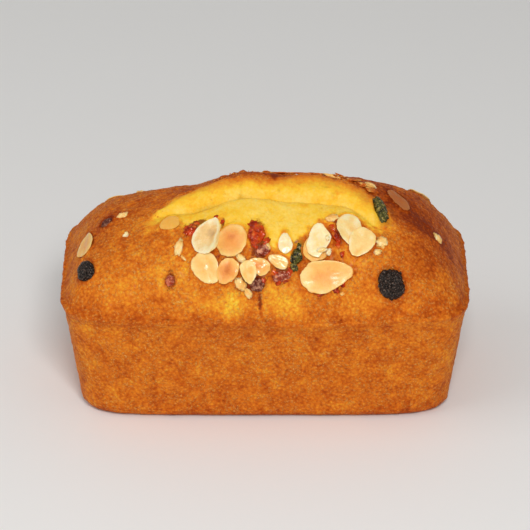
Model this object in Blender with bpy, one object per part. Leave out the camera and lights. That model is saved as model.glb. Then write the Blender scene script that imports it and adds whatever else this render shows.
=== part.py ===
"""A fruit cake loaf: a golden loaf with a burst domed top, flaked almonds and fruit pieces.

Metres, +Z up. X runs along the loaf, -Y is its shown side, and the origin is the middle of its flat base.
"""

import math
from typing import NamedTuple

import bmesh
import bpy
from mathutils import Matrix, Vector, noise

MM = 0.001

# Driving dimensions of the loaf
LOAF_LENGTH = 158 * MM
LOAF_WIDTH = 84 * MM
RIM_HEIGHT = 48 * MM
CROWN_RISE = 36.8 * MM
WALL_TAPER = 6.5 * MM
LIP_OVERHANG = 1.2 * MM
LIP_DEPTH = 5 * MM
BASE_ROUND = 4 * MM
HALF_LENGTH = LOAF_LENGTH / 2
HALF_WIDTH = LOAF_WIDTH / 2
CORNER_POWER = 6.5

# The dome: how square it is along and across, how round its shoulders are, and where its left half sags
DOME_POWER_LONG = 2.7
DOME_ROUND_LONG = 0.6
DOME_POWER_FRONT = 2.3
DOME_POWER_REAR = 2.0
DOME_ROUND_WIDE = 0.75
LEFT_SAG = 0.12
SAG_START = 6 * MM
SAG_FROM = 30 * MM
SAG_TO = 48 * MM
SAG_END = 70 * MM

# The crust's swells: how wide and how high, slow and fast, and the wander of the rim
SWELLS = ((21 * MM, 17 * MM, 1.1 * MM, 1.7), (8 * MM, 8 * MM, 0.5 * MM, 5.2))
RIM_WANDER = 1.6 * MM
RIM_STRETCH = 32 * MM

# The long bulge of crumb that burst through the crust, with a crease along its front
BULGE_RISE = 3.4 * MM
BULGE_MIDDLE = 2 * MM
BULGE_FULL = 26 * MM
BULGE_END = 52 * MM
CREASE_DEPTH = 1.7 * MM
CREASE_WIDTH = 1.8 * MM
TORN_RISE = 1.6 * MM
TORN_WIDTH = 4.5 * MM
TORN_STEP = 9 * MM

# Faces along, across and up the loaf
STEPS_LONG = 54
STEPS_WIDE = 32
STEPS_HIGH = 6

# A piece and the crumb round it keep this gap, and a pocket is open this far above its piece
GAP = 0.3 * MM
OPEN_ABOVE = 5 * MM
FLAKE_THICKNESS = 1.1 * MM

# A flake lifted more than this many mm lies on its neighbours, which its pocket cuts
UPPER_LIFT = 0.9


class Flake(NamedTuple):
    """A flaked almond: its place, size, lift and the curl of its edge in mm, and its angles in degrees.

    Its taper is how much narrower its tip is than its middle, as a share.
    """

    x: float
    y: float
    length: float
    width: float
    turn: float
    lift: float = 0.3
    curl: float = 0.4
    right_up: float = 0
    rear_up: float = 0
    taper: float = 0.26


class Fruit(NamedTuple):
    """A piece of fruit: its kind, its place, three sizes and how deep its middle is sunk in mm, and its turn."""

    kind: str
    x: float
    y: float
    length: float
    width: float
    height: float
    turn: float
    sink: float = 0.7


class Crumb(NamedTuple):
    """A small almond piece baked onto the crust: its place, length and width in mm, and its turn."""

    x: float
    y: float
    length: float
    width: float
    turn: float


FLAKES = {
    "almond_1": Flake(-21.0, -23.2, 15.2, 11.2, 62, lift=1.4, curl=1.5, right_up=9, rear_up=4, taper=0.4),
    "almond_2": Flake(-12.4, -26.0, 13.2, 11.6, 60, curl=0.6, taper=0.1),
    "almond_3": Flake(-22.2, -32.1, 13.0, 9.8, 300, curl=0.5, right_up=2, taper=0.2),
    "almond_4": Flake(-14.1, -33.3, 10.6, 7.6, 240, lift=1.3, right_up=4, taper=0.2),
    "almond_5": Flake(-6.1, -33.7, 9.0, 6.2, 278, lift=1.4),
    "almond_6": Flake(-2.1, -32.7, 8.6, 6.2, 150, curl=0.3),
    "almond_7": Flake(7.6, -26.9, 8.4, 5.2, 92, lift=0.7, curl=0.2),
    "almond_8": Flake(4.9, -31.6, 8.0, 5.0, 153, lift=0.7, curl=0.2),
    "almond_9": Flake(20.7, -26.0, 14.2, 9.6, 95, lift=1.7, right_up=2, taper=0.4),
    "almond_10": Flake(19.2, -27.4, 12.4, 9.0, 85, curl=0.3),
    "almond_11": Flake(23.5, -33.8, 20.6, 11.8, 12, lift=1.0, curl=0.8, rear_up=2, taper=0.32),
    "almond_12": Flake(32.3, -22.3, 14.2, 9.4, 285, taper=0.2),
    "almond_13": Flake(36.2, -26.4, 12.2, 9.4, 240, lift=1.4, curl=0.5, right_up=3),
    "almond_14": Flake(51.2, -0.4, 12.2, 6.2, 132, lift=-0.1, curl=0.3, taper=0.1),
    "almond_15": Flake(-36.4, -14.9, 8.0, 6.6, 200, lift=-0.1, curl=0.2),
    "almond_16": Flake(-31.0, 34.6, 15.0, 10.4, 20, lift=0.2, curl=0.7),
    "almond_17": Flake(-17.5, 35.4, 12.0, 9.0, 110, curl=0.5),
    "almond_18": Flake(5.0, 31.0, 13.6, 10.0, 200, curl=0.6),
    "almond_19": Flake(15.0, 34.6, 12.0, 9.2, 75, lift=1.3, curl=0.6, rear_up=3),
    "almond_20": Flake(35.6, 33.4, 16.0, 11.0, 160, curl=0.8),
    "almond_21": Flake(-57.0, 32.5, 11.4, 8.0, 12, lift=0.2, curl=0.5),
    "almond_22": Flake(60.0, 27.0, 12.2, 8.6, 250, curl=0.5),
    "almond_23": Flake(-68.5, -9.0, 12.0, 8.8, 80, curl=0.5),
}

FRUITS = {
    "raisin_1": Fruit("raisin", 47.7, -35.2, 12.6, 10.4, 7.4, turn=100, sink=0.9),
    "raisin_2": Fruit("raisin", -2.9, -36.0, 6.2, 5.4, 4.6, turn=30),
    "raisin_3": Fruit("raisin", -61.0, -4.6, 5.6, 4.4, 3.4, turn=20, sink=0.9),
    "raisin_4": Fruit("raisin", -44.5, 34.0, 11.0, 8.2, 6.4, turn=20, sink=0.9),
    "raisin_5": Fruit("raisin", 48.5, 33.0, 10.0, 8.0, 6.0, turn=70),
    "raisin_6": Fruit("raisin", -68.5, -24.0, 10.6, 8.4, 6.4, turn=120, sink=0.9),
    "red_fruit_1": Fruit("red_fruit", -3.3, -24.8, 7.4, 6.6, 5.2, turn=70),
    "red_fruit_2": Fruit("red_fruit", -0.6, -29.0, 5.4, 4.8, 4.4, turn=20),
    "red_fruit_3": Fruit("red_fruit", 6.2, -34.6, 7.6, 4.2, 3.6, turn=8),
    "red_fruit_4": Fruit("red_fruit", -36.0, -34.0, 4.6, 3.8, 3.2, turn=80),
    "red_fruit_5": Fruit("red_fruit", 26.8, -24.6, 6.6, 2.8, 3.4, turn=116),
    "red_fruit_6": Fruit("red_fruit", -28.0, -19.4, 5.4, 4.6, 3.6, turn=50),
    "red_fruit_7": Fruit("red_fruit", -6.5, 34.0, 8.4, 7.2, 5.2, turn=10),
    "green_fruit_1": Fruit("green_fruit", 12.0, -30.2, 6.4, 4.4, 4.4, turn=80),
    "green_fruit_2": Fruit("green_fruit", 44.1, -11.6, 13.2, 5.2, 4.6, turn=105),
    "green_fruit_3": Fruit("green_fruit", 24.0, 30.0, 9.0, 6.0, 5.0, turn=160),
}

CRUMBS = (
    Crumb(-9.4, -35.6, 5.4, 3.6, turn=120),
    Crumb(-6.2, -37.2, 4.4, 2.6, turn=125),
    Crumb(44.2, -25.3, 4.8, 4.4, turn=40),
    Crumb(42.6, -28.4, 3.0, 2.4, turn=10),
    Crumb(-32.7, -25.4, 7.0, 3.2, turn=75),
    Crumb(40.4, 4.4, 5.0, 2.4, turn=165),
    Crumb(-54.8, -3.6, 4.2, 2.6, turn=15),
    Crumb(-53.0, -15.6, 2.6, 2.2, turn=60),
    Crumb(-9.0, 27.5, 4.4, 3.0, turn=140),
    Crumb(46.0, 27.5, 5.0, 3.2, turn=60),
    Crumb(-49.0, 29.0, 4.6, 3.4, turn=100),
    Crumb(25.0, 37.0, 4.0, 3.2, turn=20),
    Crumb(66.0, -10.0, 4.8, 3.2, turn=130),
)
CRUMB_HEIGHT = 2.2 * MM
CRUMB_LIFT = 0.2 * MM

COLOURS = {
    "cake": ((0.70, 0.30, 0.07), 0.6),
    "almond": ((0.90, 0.62, 0.33), 0.4),
    "raisin": ((0.03, 0.014, 0.012), 0.35),
    "red_fruit": ((0.45, 0.05, 0.012), 0.2),
    "green_fruit": ((0.06, 0.08, 0.02), 0.3),
}


def smooth_step(low, high, value):
    """0 below low, 1 above high, and an even curve between them."""
    share = min(max((value - low) / (high - low), 0), 1)
    return share * share * (3 - 2 * share)


def outline_share(x, y):
    """How far out a point of the plan is: 0 in the middle and 1 on the rounded outline."""
    along = abs(x / HALF_LENGTH) ** CORNER_POWER
    across = abs(y / HALF_WIDTH) ** CORNER_POWER
    return (along + across) ** (1 / CORNER_POWER)


def crease_line(x):
    """Where across the loaf the crease in front of the bulge runs: a bow that drops away at its right end."""
    bend = 1.4 * MM * ((x + 4 * MM) / (40 * MM)) ** 2
    return -8.3 * MM - bend - 9 * MM * smooth_step(28 * MM, 46 * MM, x)


def torn_line(x):
    """Where across the loaf the torn edge of the rear crust runs: a bow with its ends towards the front."""
    return 9.3 * MM - (x - 5 * MM) ** 2 / (131 * MM)


def bulge_share(x):
    """1 along the middle of the bulge, fading to 0 at its two ends."""
    return 1 - smooth_step(BULGE_FULL, BULGE_END, abs(x - BULGE_MIDDLE))


def burst_height(x, y):
    """Height that the bulge, its crease and the torn crust edge add to the dome."""
    front, back = crease_line(x), torn_line(x)
    height = -CREASE_DEPTH * math.exp(-(((y - front) / CREASE_WIDTH) ** 2))
    if front < y < back:
        height += BULGE_RISE * math.sin(math.pi * (y - front) / (back - front)) ** 0.7
    over_edge = (y - back) / TORN_WIDTH + 1 / 3
    if 0 < over_edge < 4 / 3:
        jagged = 0.65 + 0.6 * noise.noise(Vector((x / TORN_STEP, 3, 0)))
        height += TORN_RISE * jagged * math.sin(math.pi * over_edge * 3 / 4)
    return height * bulge_share(x)


def unevenness(x, y):
    """The slow swells of a baked crust."""
    return sum(rise * noise.noise(Vector((x / long, y / wide, seed))) for long, wide, rise, seed in SWELLS)


def rim_height(x, y):
    """The rim's height, which wanders a little round the loaf."""
    return RIM_HEIGHT + RIM_WANDER * noise.noise(Vector((x / RIM_STRETCH, y / RIM_STRETCH, 9.1)))


def dome_share(x, y):
    """How much of the crown's rise the dome has at a point of the plan, from 0 at the rim to 1."""
    sag = smooth_step(SAG_START, SAG_FROM, -x) * (1 - smooth_step(SAG_TO, SAG_END, -x))
    power = DOME_POWER_REAR if y > 0 else DOME_POWER_FRONT
    along = max(1 - abs(x / HALF_LENGTH) ** DOME_POWER_LONG, 0) ** DOME_ROUND_LONG
    across = max(1 - abs(y / HALF_WIDTH) ** power, 0) ** DOME_ROUND_WIDE
    return along * across * (1 - LEFT_SAG * sag)


def crust_height(x, y):
    """Height of the top crust over a point of the plan."""
    inside = 1 - min(outline_share(x, y), 1) ** 14
    relief = burst_height(x, y) + unevenness(x, y)
    return rim_height(x, y) + (CROWN_RISE * dome_share(x, y) + relief) * inside


def crust_normal(x, y):
    """The direction that points straight out of the top crust."""
    step = 1.5 * MM
    slope_x = (crust_height(x + step, y) - crust_height(x - step, y)) / (2 * step)
    slope_y = (crust_height(x, y + step) - crust_height(x, y - step)) / (2 * step)
    return Vector((-slope_x, -slope_y, 1)).normalized()


def wall_inset(height, rim):
    """How far the wall stands in from the lip at a height: the tin's taper, the base's round and the lip."""
    inset = WALL_TAPER * (1 - height / rim)
    inset += LIP_OVERHANG * (1 - smooth_step(rim - LIP_DEPTH, rim, height))
    if height < BASE_ROUND:
        inset += BASE_ROUND - math.sqrt(BASE_ROUND**2 - (BASE_ROUND - height) ** 2)
    return inset


def loaf_point(corner):
    """Moves a point of the cube from -1 to 1 onto the loaf."""
    spread = [0.5 * side + 0.5 * math.sin(side * math.pi / 2) for side in corner[:2]]
    reach = max(abs(side) for side in spread)
    pull = (sum(abs(side) ** CORNER_POWER for side in spread)) ** (1 / CORNER_POWER)
    u, v = [side * reach / pull if pull else 0 for side in spread]
    if corner[2] > 1 - 1e-6:
        x, y = u * HALF_LENGTH, v * HALF_WIDTH
        return Vector((x, y, crust_height(x, y)))
    rim = rim_height(u * HALF_LENGTH, v * HALF_WIDTH)
    height = rim * smooth_step(-1, 1, corner[2])
    inset = wall_inset(height, rim)
    return Vector((u * (HALF_LENGTH - inset), v * (HALF_WIDTH - inset), height))


def subdivided_cube(steps):
    """A cube from -1 to 1 cut into steps along each axis, with its underside a plain fan of faces."""
    cube = bmesh.new()
    bmesh.ops.create_cube(cube, size=2)
    for axis, count in enumerate(steps):
        edges = [e for e in cube.edges if abs((e.verts[0].co - e.verts[1].co)[axis]) > 1e-6]
        bmesh.ops.subdivide_edges(cube, edges=edges, cuts=count - 1, use_grid_fill=True)
    under = [f for f in cube.faces if f.normal.z < -0.9]
    base = bmesh.ops.dissolve_faces(cube, faces=under, use_verts=False)["region"]
    bmesh.ops.poke(cube, faces=base)
    return cube


def new_object(name, shape, kind, collection, at=Matrix()):
    """An object of that name from a bmesh, with its kind's material, in its place."""
    bmesh.ops.recalc_face_normals(shape, faces=shape.faces)
    mesh = bpy.data.meshes.new(name)
    shape.to_mesh(mesh)
    shape.free()
    piece = bpy.data.objects.new(name, mesh)
    piece.data.materials.append(material(kind))
    mesh.shade_smooth()
    piece.matrix_world = at
    collection.objects.link(piece)
    return piece


def material(kind):
    """The plain finish of one kind of piece, made once."""
    if kind in bpy.data.materials:
        return bpy.data.materials[kind]
    colour, roughness = COLOURS[kind]
    made = bpy.data.materials.new(kind)
    made.use_nodes = True
    shader = made.node_tree.nodes["Principled BSDF"]
    shader.inputs["Base Color"].default_value = (*colour, 1)
    shader.inputs["Roughness"].default_value = roughness
    shader.inputs["Metallic"].default_value = 0
    return made


def resting_place(x, y, turn, lift, right_up=0, rear_up=0):
    """The matrix that lays a piece on the crust at a point of the plan, tipped up and then turned."""
    normal = crust_normal(x, y)
    right = (Vector((1, 0, 0)) - normal * normal.x).normalized()
    laid = Matrix((right, normal.cross(right), normal)).transposed().to_4x4()
    tipped = Matrix.Rotation(-right_up, 4, "Y") @ Matrix.Rotation(rear_up, 4, "X")
    ground = Vector((x, y, crust_height(x, y))) + normal * lift
    return Matrix.Translation(ground) @ laid @ tipped @ Matrix.Rotation(turn, 4, "Z")


def flake_shape(length, width, curl, taper, seed, grow=0, raised=0):
    """An almond flake lying flat, its tip towards +X, curled and a little wavy. A pocket's is grown and raised."""
    shape = bmesh.new()
    bmesh.ops.create_uvsphere(shape, u_segments=14, v_segments=4, radius=1)
    for vertex in shape.verts:
        p, q, upward = vertex.co
        around = Vector((p, q, 0)).normalized()
        ragged = 1 + 0.09 * noise.noise(around * 1.6 + Vector((0, 0, seed)))
        x = p * (length / 2 * ragged + grow)
        y = q * (width / 2 * ragged * (1 - taper * p) + grow)
        bend = curl * (0.5 * p * p + q * q)
        bend += 0.3 * MM * noise.noise(Vector((1.3 * p, 1.3 * q, seed + 4)))
        thick = math.copysign(abs(upward) ** 0.4, upward) * (FLAKE_THICKNESS / 2 + grow)
        vertex.co = (x, y, thick + bend + (raised if upward > 0.1 else 0))
    return shape


def fruit_shape(sizes, seed, grow=0):
    """A wrinkled ellipsoid of the three sizes."""
    shape = bmesh.new()
    bmesh.ops.create_uvsphere(shape, u_segments=10, v_segments=6, radius=1)
    for vertex in shape.verts:
        dented = 1 + 0.16 * noise.noise(vertex.co * 1.7 + Vector((seed, 0, 0)))
        vertex.co = [c * (size / 2 * dented + grow) for c, size in zip(vertex.co, sizes)]
    return shape


def add_piece(name, kind, shape, pocket, at, collection, cutters):
    """A piece laid in its place, and the cutter of the pocket that it lies in."""
    new_object(name, shape, kind, collection, at)
    new_object(name + "_pocket", pocket, kind, cutters, at)


def add_flakes(collection, lower_cutters, upper_cutters):
    """Each almond flake. One that lies on others has its cutter among the upper ones."""
    for seed, (name, flake) in enumerate(FLAKES.items()):
        turn, right_up, rear_up = [math.radians(a) for a in (flake.turn, flake.right_up, flake.rear_up)]
        at = resting_place(flake.x * MM, flake.y * MM, turn, flake.lift * MM, right_up, rear_up)
        sizes = (flake.length * MM, flake.width * MM, flake.curl * MM, flake.taper, seed)
        cutters = upper_cutters if flake.lift > UPPER_LIFT else lower_cutters
        pocket = flake_shape(*sizes, GAP, OPEN_ABOVE)
        add_piece(name, "almond", flake_shape(*sizes), pocket, at, collection, cutters)


def add_fruits(collection, cutters):
    """Each fruit piece, sunk in the crust."""
    for seed, (name, fruit) in enumerate(FRUITS.items()):
        at = resting_place(fruit.x * MM, fruit.y * MM, math.radians(fruit.turn), -fruit.sink * MM)
        sizes = [size * MM for size in (fruit.length, fruit.width, fruit.height)]
        pocket = fruit_shape(sizes, seed, GAP)
        add_piece(name, fruit.kind, fruit_shape(sizes, seed), pocket, at, collection, cutters)


def add_crumbs(collection):
    """The small almond pieces that are baked onto the crust."""
    for number, crumb in enumerate(CRUMBS):
        shape = bmesh.new()
        bmesh.ops.create_uvsphere(shape, u_segments=8, v_segments=4, radius=0.5)
        sizes = (crumb.length * MM, crumb.width * MM, CRUMB_HEIGHT)
        bmesh.ops.scale(shape, vec=sizes, verts=shape.verts)
        at = resting_place(crumb.x * MM, crumb.y * MM, math.radians(crumb.turn), CRUMB_LIFT)
        new_object(f"crumb_{number}", shape, "almond", collection, at)


def fuse_or_cut(piece, operation, others):
    """Joins a collection's solids to a piece or cuts them out of it, and keeps the result as the piece's mesh."""
    boolean = piece.modifiers.new(operation.lower(), "BOOLEAN")
    boolean.operation = operation
    boolean.operand_type = "COLLECTION"
    boolean.collection = others
    boolean.solver = "MANIFOLD"
    graph = bpy.context.evaluated_depsgraph_get()
    finished = bpy.data.meshes.new_from_object(piece.evaluated_get(graph))
    piece.modifiers.clear()
    piece.data = finished


def reaches(first, second):
    """Whether the boxes round two objects meet."""
    boxes = [[obj.matrix_world @ Vector(corner) for corner in obj.bound_box] for obj in (first, second)]
    lows = [[min(corner[axis] for corner in box) for axis in range(3)] for box in boxes]
    highs = [[max(corner[axis] for corner in box) for axis in range(3)] for box in boxes]
    return all(lows[0][i] < highs[1][i] and lows[1][i] < highs[0][i] for i in range(3))


def new_collection(name):
    collection = bpy.data.collections.new(name)
    bpy.context.scene.collection.children.link(collection)
    return collection


def main():
    for leftover in list(bpy.data.objects):
        bpy.data.objects.remove(leftover)
    names = ("fruit_cake_loaf", "crumbs", "lower_pockets", "upper_pockets")
    cake, crumbs, lower_cutters, upper_cutters = [new_collection(name) for name in names]

    shape = subdivided_cube((STEPS_LONG, STEPS_WIDE, STEPS_HIGH))
    for vertex in shape.verts:
        vertex.co = loaf_point(vertex.co)
    loaf = new_object("loaf", shape, "cake", cake)

    add_flakes(cake, lower_cutters, upper_cutters)
    add_fruits(cake, lower_cutters)
    add_crumbs(crumbs)
    for cutter in [*lower_cutters.objects, *upper_cutters.objects]:
        cutter.hide_render = True
        cutter.display_type = "WIRE"
    bpy.context.view_layer.update()

    fuse_or_cut(loaf, "UNION", crumbs)
    for crumb in list(crumbs.objects):
        bpy.data.objects.remove(crumb)
    for cutters in (lower_cutters, upper_cutters):
        fuse_or_cut(loaf, "DIFFERENCE", cutters)
    uppers = {cutter.name.removesuffix("_pocket") for cutter in upper_cutters.objects}
    for piece in cake.objects:
        touched = any(reaches(piece, cutter) for cutter in upper_cutters.objects)
        if piece is not loaf and piece.name not in uppers and touched:
            fuse_or_cut(piece, "DIFFERENCE", upper_cutters)


main()
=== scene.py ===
"""Dresses a fruit cake loaf: its baked crust and burst crumb, flaked almonds and fruit, in soft studio light.

Metres, +Z up. X runs along the loaf and -Y is its shown side.
"""

import math
import random
from typing import NamedTuple

import bmesh
import bpy
import numpy as np
from bpy.props import FloatProperty, FloatVectorProperty, IntProperty, PointerProperty
from mathutils import Matrix, Vector, noise


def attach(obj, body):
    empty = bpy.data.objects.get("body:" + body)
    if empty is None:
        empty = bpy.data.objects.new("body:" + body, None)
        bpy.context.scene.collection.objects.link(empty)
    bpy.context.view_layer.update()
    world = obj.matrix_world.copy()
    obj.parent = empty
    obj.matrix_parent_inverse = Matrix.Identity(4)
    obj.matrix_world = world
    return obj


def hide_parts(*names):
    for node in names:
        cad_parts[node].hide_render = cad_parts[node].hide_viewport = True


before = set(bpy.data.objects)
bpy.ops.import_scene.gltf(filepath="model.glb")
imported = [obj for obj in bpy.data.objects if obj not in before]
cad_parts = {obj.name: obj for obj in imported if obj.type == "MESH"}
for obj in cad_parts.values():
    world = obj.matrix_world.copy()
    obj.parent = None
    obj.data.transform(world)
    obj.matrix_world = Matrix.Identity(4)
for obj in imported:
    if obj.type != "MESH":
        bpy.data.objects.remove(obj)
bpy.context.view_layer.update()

bl_info = {
    "name": "Fruit cake loaf",
    "version": (1, 0, 0),
    "blender": (4, 5, 0),
    "location": "3D View > Sidebar > Cake",
    "description": "Bakes a fruit cake loaf with a burst crust, flaked almonds and fruit",
    "category": "Object",
}

MM = 0.001

# The loaf's form, as its solid has it: its walls, its dome, its burst bulge and the torn edge behind that
LOAF_LENGTH = 158 * MM
LOAF_WIDTH = 84 * MM
RIM_HEIGHT = 48 * MM
CROWN_RISE = 36.8 * MM
WALL_TAPER = 6.5 * MM
LIP_OVERHANG = 1.2 * MM
LIP_DEPTH = 5 * MM
LIP_ROUND = 1.6 * MM
BASE_ROUND = 4 * MM
HALF_LENGTH = LOAF_LENGTH / 2
HALF_WIDTH = LOAF_WIDTH / 2
CORNER_POWER = 6.5
DOME_POWER_LONG = 2.7
DOME_ROUND_LONG = 0.6
DOME_POWER_FRONT = 2.3
DOME_POWER_REAR = 2.0
DOME_ROUND_WIDE = 0.75
LEFT_SAG = 0.12
SAG_START = 6 * MM
SAG_FROM = 30 * MM
SAG_TO = 48 * MM
SAG_END = 70 * MM
RELIEF_POWER = 14
LIP_POWER = 24
EDGE_CLOSENESS = 0.3
RIM_WANDER = 1.6 * MM
RIM_STRETCH = 32 * MM
BULGE_RISE = 3.4 * MM
BULGE_MIDDLE = 2 * MM
BULGE_FULL = 26 * MM
BULGE_END = 52 * MM
CREASE_PLACE = -8.3 * MM
CREASE_BEND = 1.4 * MM
CREASE_MIDDLE = -4 * MM
CREASE_REACH = 40 * MM
CREASE_DROP = 9 * MM
CREASE_DEPTH = 1.7 * MM
CREASE_WIDTH = 1.8 * MM
TORN_PLACE = 9.3 * MM
TORN_MIDDLE = 5 * MM
TORN_SPAN = 131 * MM
TORN_RISE = 1.6 * MM
TORN_WIDTH = 4.5 * MM
TORN_STEP = 9 * MM

# The almond flakes, and the small almond pieces
FLAKE_THICKNESS = 1.1 * MM
CRUMB_HEIGHT = 2.2 * MM
CRUMB_LIFT = 0.2 * MM
CHIP_HEIGHT = 1.4 * MM

# Broad swells of the crust: reach along and across, height, and where in the noise they lie
SWELLS = ((21 * MM, 17 * MM, 1.1 * MM, 1.7), (8 * MM, 8 * MM, 0.5 * MM, 5.2))

# The fine crack down the front and the fold across the bulge
CRACK_PLACE = -2 * MM
CRACK_MIDDLE = 54 * MM
CRACK_LEAN = -0.16
CRACK_WIDTH = 0.7 * MM
FOLD_PLACE = -9.3 * MM
FOLD_WIDTH = 1.3 * MM
FOLD_DEPTH = 0.35 * MM

# The small round pits, with their width as a share of the spacing
PIT_SPACING = 3.6 * MM
PIT_DEPTH = 0.4 * MM
PIT_WIDTH = 0.14
PIT_CHOICE = -0.45

# The chip's place, past a full turn, of a flake that isn't chipped
NO_CHIP = 9

# The studio
CAMERA_PLACE = (0, -1.1495, 0.7125)
CAMERA_TILT = 60
LIGHTS_AIM = (0, 0, 0.05)
FLOOR_REACH = 1.6
BACKDROP_HEIGHT = 2
BACKDROP_ROUND = 0.6

# Where the burst shows yellow crumb: places along the loaf, and its front and rear edge there, in mm
BURST_X = (-50, -44, -38, -32, -25, -18, -11, -2, 4, 8, 13, 17, 21, 27, 32, 38, 43, 49)
BURST_FRONT = (
    -12.5, -14.4, -15, -17, -20, -22.5, -25, -28, -29, -28.5, -27, -22.5, -20.9, -18.3, -18.2, -19, -20, -16
)
BURST_REAR = (-12, -9, -4.5, -0.8, 1.4, 0.2, -1.8, -2.6, -2.2, 0.2, 2.4, 3.2, 3.0, 0.6, -1.4, -3.4, -7, -15)


class Flake(NamedTuple):
    """A flaked almond: its place, size, lift and curl in mm, its angles in degrees and its tip's taper.

    Then how toasted it is, how much more one side curls, where round it, in radians, it is chipped, and how
    much of it a film of cake mixture covers; a film above 0.9 is browner, partly painted shade.
    """

    x: float
    y: float
    length: float
    width: float
    turn: float
    lift: float = 0.3
    curl: float = 0.4
    right_up: float = 0
    rear_up: float = 0
    taper: float = 0.26
    toast: float = 0.4
    fold: float = 0
    chip: float = NO_CHIP
    film: float = 0


class Fruit(NamedTuple):
    """A piece of fruit: its place, three sizes in mm and its turn.

    Then how deep its middle is sunk in mm, and how plum brown it is.
    """

    x: float
    y: float
    length: float
    width: float
    height: float
    turn: float
    sink: float = 0.7
    plum: float = 0


FLAKES = {
    "almond_1": Flake(
        -21.0, -23.2, 15.2, 11.2, 62, lift=1.4, curl=1.5, right_up=9, rear_up=4, taper=0.4,
        toast=-0.28, fold=0.7,
    ),
    "almond_2": Flake(-12.4, -26.0, 13.2, 11.6, 60, curl=0.6, taper=0.1, toast=0.62),
    "almond_3": Flake(-22.2, -32.1, 13.0, 9.8, 300, curl=0.5, right_up=2, taper=0.2, toast=0.35),
    "almond_4": Flake(-14.1, -33.3, 10.6, 7.6, 240, lift=1.3, right_up=4, taper=0.2, toast=0.72),
    "almond_5": Flake(-6.1, -33.7, 9.0, 6.2, 278, lift=1.4, toast=0.3),
    "almond_6": Flake(-2.1, -32.7, 8.6, 6.2, 150, curl=0.3, toast=0.55),
    "almond_7": Flake(7.6, -26.9, 8.4, 5.2, 92, lift=0.7, curl=0.2, toast=-0.02),
    "almond_8": Flake(4.9, -31.6, 8.0, 5.0, 153, lift=0.7, curl=0.2, toast=0.3),
    "almond_9": Flake(20.7, -26.0, 14.2, 9.6, 95, lift=1.7, right_up=2, taper=0.4, toast=0.02, chip=3.9),
    "almond_10": Flake(19.2, -27.4, 12.4, 9.0, 85, curl=0.3, toast=0.5, film=0.62),
    "almond_11": Flake(23.5, -33.8, 20.6, 11.8, 12, lift=1.0, curl=0.8, rear_up=2, taper=0.32, toast=0.5),
    "almond_12": Flake(32.3, -22.3, 14.2, 9.4, 285, taper=0.2, toast=0.12),
    "almond_13": Flake(36.2, -26.4, 12.2, 9.4, 240, lift=1.4, curl=0.5, right_up=3, toast=0.2),
    # A film of 1.3 makes this flake browner: partly crust over it, partly painted shade at the loaf's right
    # end.
    "almond_14": Flake(51.2, -0.4, 12.2, 6.2, 132, lift=-0.1, curl=0.3, taper=0.1, toast=0.6, film=1.3),
    "almond_15": Flake(-36.4, -14.9, 8.0, 6.6, 200, lift=-0.1, curl=0.2, toast=0.3, film=0.85),
    "almond_16": Flake(-31.0, 34.6, 15.0, 10.4, 20, lift=0.2, curl=0.7),
    "almond_17": Flake(-17.5, 35.4, 12.0, 9.0, 110, curl=0.5, toast=0.7),
    "almond_18": Flake(5.0, 31.0, 13.6, 10.0, 200, curl=0.6, toast=0.3),
    "almond_19": Flake(15.0, 34.6, 12.0, 9.2, 75, lift=1.3, curl=0.6, rear_up=3, toast=0.5),
    "almond_20": Flake(35.6, 33.4, 16.0, 11.0, 160, curl=0.8, toast=0.5, chip=3.6),
    "almond_21": Flake(-57.0, 32.5, 11.4, 8.0, 12, lift=0.2, curl=0.5, toast=0.6),
    "almond_22": Flake(60.0, 27.0, 12.2, 8.6, 250, curl=0.5, toast=0.4),
    "almond_23": Flake(-68.5, -9.0, 12.0, 8.8, 80, curl=0.5, toast=0.5),
}

FRUITS = {
    "raisin_1": Fruit(47.7, -35.2, 12.6, 10.4, 7.4, turn=100, sink=0.9),
    "raisin_2": Fruit(-2.9, -36.0, 6.2, 5.4, 4.6, turn=30, plum=0.75),
    "raisin_3": Fruit(-61.0, -4.6, 5.6, 4.4, 3.4, turn=20, sink=0.9, plum=0.5),
    "raisin_4": Fruit(-44.5, 34.0, 11.0, 8.2, 6.4, turn=20, sink=0.9),
    "raisin_5": Fruit(48.5, 33.0, 10.0, 8.0, 6.0, turn=70),
    "raisin_6": Fruit(-68.5, -24.0, 10.6, 8.4, 6.4, turn=120, sink=0.9),
    "red_fruit_1": Fruit(-3.3, -24.8, 7.4, 6.6, 5.2, turn=70),
    "red_fruit_2": Fruit(-0.6, -29.0, 5.4, 4.8, 4.4, turn=20, plum=0.9),
    "red_fruit_3": Fruit(6.2, -34.6, 7.6, 4.2, 3.6, turn=8, plum=0.75),
    "red_fruit_4": Fruit(-36.0, -34.0, 4.6, 3.8, 3.2, turn=80, plum=0.5),
    "red_fruit_5": Fruit(26.8, -24.6, 6.6, 2.8, 3.4, turn=116),
    "red_fruit_6": Fruit(-28.0, -19.4, 5.4, 4.6, 3.6, turn=50),
    "red_fruit_7": Fruit(-6.5, 34.0, 8.4, 7.2, 5.2, turn=10),
    "green_fruit_1": Fruit(12.0, -30.2, 6.4, 4.4, 4.4, turn=80),
    "green_fruit_2": Fruit(44.1, -11.6, 13.2, 5.2, 4.6, turn=105),
    "green_fruit_3": Fruit(24.0, 30.0, 9.0, 6.0, 5.0, turn=160),
}

# Small almond pieces baked onto the crust: place, length and width in mm, and turn in degrees
CRUMBS = (
    (-9.4, -35.6, 5.4, 3.6, 120),
    (-6.2, -37.2, 4.4, 2.6, 125),
    (44.2, -25.3, 4.8, 4.4, 40),
    (42.6, -28.4, 3.0, 2.4, 10),
    (-32.7, -25.4, 7.0, 3.2, 75),
    (40.4, 4.4, 5.0, 2.4, 165),
    (-54.8, -3.6, 4.2, 2.6, 15),
    (-53.0, -15.6, 2.6, 2.2, 60),
    (-9.0, 27.5, 4.4, 3.0, 140),
    (46.0, 27.5, 5.0, 3.2, 60),
    (-49.0, 29.0, 4.6, 3.4, 100),
    (25.0, 37.0, 4.0, 3.2, 20),
    (66.0, -10.0, 4.8, 3.2, 130),
)
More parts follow.
